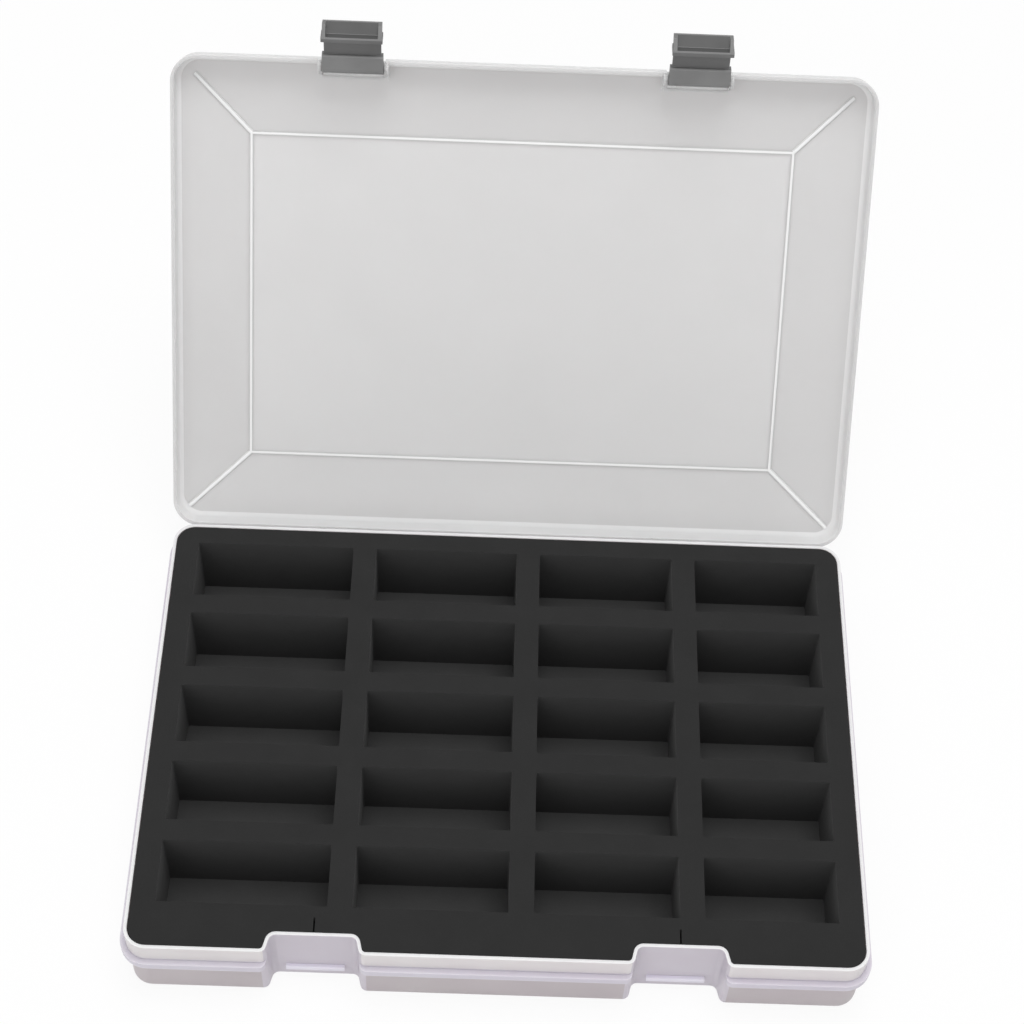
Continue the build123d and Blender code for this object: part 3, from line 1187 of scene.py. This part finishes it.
    def thicken(self, build: TreeBuilder, plan: NodeSocket) -> None:
        """Ends the tree with a closed block that stands on the filled plan.

        Args:
            build: The builder of the block's tree.
            plan: The curves of the outline and the pockets.
        """
        entry = build.entry.outputs
        fill = build.node("GeometryNodeFillCurve", {"Curve": plan}, mode="TRIANGLES")
        base = build.node("GeometryNodeTransform", {
            "Geometry": fill.outputs[0],
            "Translation": build.vector(0.0, 0.0, entry["Bottom"]),
        })
        rise = {
            "Mesh": base.outputs[0],
            "Offset": build.vector(0.0, 0.0, 1.0),
            "Offset Scale": entry["Thickness"],
            "Individual": False,
        }
        raised = build.node("GeometryNodeExtrudeMesh", rise, mode="FACES")
        flipped = build.node("GeometryNodeFlipFaces", {"Mesh": base.outputs[0]})
        closed = build.node("GeometryNodeJoinGeometry", {0: raised.outputs["Mesh"]})
        build.feed(closed, {0: flipped.outputs[0]})
        merged = build.node("GeometryNodeMergeByDistance", {
            "Geometry": closed.outputs[0],
            "Distance": self.merge_distance,
        })
        finish_tree(build, merged.outputs[0])

    def slab(
        self, tree: NodeTree, name: str, rows: int, bottom: float, top: float, material: Material
    ) -> Object:
        """Makes one layer of the insert and rounds its cut edges.

        Args:
            tree: The tree of the die-cut block.
            name: The piece's name.
            rows: How many rows of pockets are cut through it.
            bottom: The height of its underside.
            top: The height of its upper face.
            material: Its finish.

        Returns:
            The finished piece.
        """
        walls = self.column_wall * (len(self.column_lengths) - 1)
        mesh = run_tree(tree, self.outline_curve(), {
            "Rows": rows,
            "First Column": -(sum(self.column_lengths) + walls) / 2,
            "First Row": self.sizes.width / 2 - self.back_margin,
            "Bottom": bottom,
            "Thickness": top - bottom,
            "Material": material,
        })
        work = bmesh.new()
        work.from_mesh(mesh)
        bmesh.ops.recalc_face_normals(work, faces=work.faces)
        top_edges = [
            edge for edge in work.edges
            if min(vertex.co.z for vertex in edge.verts) > top - self.height_slack
            and edge.calc_face_angle(0.0) > self.rounded_angle
        ]
        radius = min(self.edge_radius, self.edge_share * (top - bottom))
        marks = round_edges(work, top_edges, radius, self.edge_segments)
        work.to_mesh(mesh)
        work.free()
        mark_faces(mesh, "edge", marks)
        upright = [float(abs(face.normal.z) < UPRIGHT_RISE) for face in mesh.polygons]
        mark_faces(mesh, "cut", upright)
        smooth_by_angle(mesh, BEND_ANGLE)
        piece = object_from(mesh, name, material)
        shade_evenly(piece)
        return piece

    def build(self, finishes: Finishes) -> list[Object]:
        """Makes the block and the sheet under it.

        Args:
            finishes: The finishes of the foam block and the thin sheet.

        Returns:
            The block and the sheet.
        """
        tree = self.tree()
        floor, top = self.sizes.floor, self.sizes.height
        seat = floor + self.backing
        return [
            self.slab(tree, "foam_block", self.rows, seat, top, finishes.foam),
            self.slab(tree, "foam_backing_sheet", 0, floor, seat, finishes.sheet),
        ]


@dataclass
class Studio:
    """A white table and soft, even light, with the camera in front of the case and above it."""

    floor_size: float = 8.0
    floor_colour: Colour = (0.9, 0.9, 0.9, 1.0)
    white_share: float = 0.9
    surround_level: float = 0.6
    lamp_target: Triple = (0.0, 0.05, 0.05)
    camera_place: Triple = (-0.01538, -0.57438, 1.02711)
    camera_right: Triple = (0.99927, 0.02051, 0.03223)
    camera_up: Triple = (-0.0355, 0.81039, 0.58481)
    focal_pixels: float = 2283.7
    picture_pixels: float = 1024.0
    sensor: float = 36.0
    farthest: float = 50.0

    @staticmethod
    def seen_directly(build: TreeBuilder) -> NodeSocket:
        """A mask of the rays that see a surface straight, mirrored or through a clear thing."""
        path = build.node("ShaderNodeLightPath").outputs
        straight = build.maths("MAXIMUM", path["Is Camera Ray"], path["Is Glossy Ray"])
        return build.maths("MAXIMUM", straight, path["Is Transmission Ray"])

    def build_floor(self) -> None:
        """A pale floor that shows white and keeps a soft shadow."""
        mesh = bpy.data.meshes.new("studio_floor")
        half = self.floor_size / 2
        corners = [(-half, -half, 0), (half, -half, 0), (half, half, 0), (-half, half, 0)]
        mesh.from_pydata(corners, [], [(0, 1, 2, 3)])
        material, build = start_material("White floor")
        build.tree.nodes.clear()
        paint = build.node("ShaderNodeBsdfDiffuse", {"Color": self.floor_colour})
        glow = build.node("ShaderNodeEmission", {"Strength": 1.0})
        white = build.maths("MULTIPLY", self.seen_directly(build), self.white_share)
        layers = {0: white, 1: paint.outputs[0], 2: glow.outputs[0]}
        mix = build.node("ShaderNodeMixShader", layers)
        build.node("ShaderNodeOutputMaterial", {"Surface": mix.outputs[0]})
        object_from(mesh, "studio_floor", material)

    def build_world(self) -> None:
        """An even pale surround, which is plain white where it is seen."""
        world = bpy.data.worlds.new("Studio")
        bpy.context.scene.world = world
        world.use_nodes = True
        build = TreeBuilder(world.node_tree)
        seen = self.seen_directly(build)
        strength = build.ramp(seen, 0.0, 1.0, self.surround_level, 1.0)
        surround = build.tree.nodes["Background"]
        build.feed(surround, {"Color": (1.0, 1.0, 1.0, 1.0), "Strength": strength})

    def add_lamp(self, name: str, place: Triple, size: float, power: float) -> None:
        """Adds a soft square lamp that faces the case.

        Args:
            name: The lamp's name.
            place: Where it hangs.
            size: The length of its side.
            power: Its power in watts.
        """
        lamp = bpy.data.lights.new(name, "AREA")
        lamp.shape = "SQUARE"
        lamp.size = size
        lamp.energy = power
        holder = add_to_scene(name, lamp)
        holder.location = place
        sight = Vector(self.lamp_target) - Vector(place)
        holder.rotation_euler = sight.to_track_quat("-Z", "Y").to_euler()

    def build_camera(self) -> None:
        """The camera, which looks down at the case from the front."""
        right, up = Vector(self.camera_right), Vector(self.camera_up)
        back = right.cross(up)
        turn = Matrix((right, up, back)).transposed().to_4x4()
        camera = bpy.data.cameras.new("Camera")
        camera.sensor_width = self.sensor
        camera.lens = self.focal_pixels * self.sensor / self.picture_pixels
        camera.clip_end = self.farthest
        holder = add_to_scene("Camera", camera)
        holder.matrix_world = Matrix.Translation(Vector(self.camera_place)) @ turn
        bpy.context.scene.camera = holder

    def build(self) -> None:
        """Sets up the floor, the surround, the lamps and the camera."""
        bpy.context.scene.view_settings.view_transform = "Standard"
        self.build_floor()
        self.build_world()
        self.add_lamp("Top lamp", place=(0.15, 0.12, 2.3), size=1.2, power=22.0)
        self.add_lamp("Front lamp", place=(-0.5, -1.6, 1.4), size=1.6, power=9.0)
        self.build_camera()


@dataclass
class StorageCase:
    """The whole case, put together from its mouldings and its insert."""

    nodes: dict[str, Object]
    finishes: Finishes
    sizes: CaseSizes = field(default_factory=CaseSizes)
    tray_rounding: float = 0.45 * MM
    lid_rounding: float = 0.4 * MM
    latch_rounding: float = 0.3 * MM

    def build_mouldings(self) -> None:
        """Makes the tray, the lid and the two latches."""
        nodes, finishes, sizes = self.nodes, self.finishes, self.sizes
        tray = TrayMoulding("base_tray", "tray_moulding", self.tray_rounding, sizes)
        piece = tray.build(nodes["base_tray"], finishes.tray)
        report(piece, Body.BASE, ("base_tray",))
        lid = LidMoulding("lid", "lid_moulding", self.lid_rounding, sizes)
        report(lid.build(nodes["lid"], finishes.lid), Body.LID, ("lid",))
        for node, body in (("latch_left", Body.LEFT), ("latch_right", Body.RIGHT)):
            latch = LatchMoulding(node, f"{node}_moulding", self.latch_rounding, sizes)
            report(latch.build(nodes[node], finishes.latch), body, (node,))

    def build_lines(self) -> None:
        """Lays the raised lines on the lid."""
        report(LidLines(self.sizes).build(self.finishes.line), Body.LID)

    def build_insert(self) -> None:
        """Makes the foam insert."""
        block, sheet = FoamInsert(self.sizes).build(self.finishes)
        for piece, node in ((block, "foam_grid"), (sheet, "foam_floor")):
            report(piece, Body.BASE, (node,))

    def build(self) -> None:
        """Makes every piece."""
        self.build_mouldings()
        self.build_lines()
        self.build_insert()


def main() -> None:
    """Loads the frame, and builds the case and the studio."""
    logging.basicConfig(level=logging.INFO, format="%(name)s: %(message)s")
    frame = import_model()
    StorageCase(frame["nodes"], Finishes(Effects())).build()
    Studio().build()


if __name__ == "__main__":
    main()
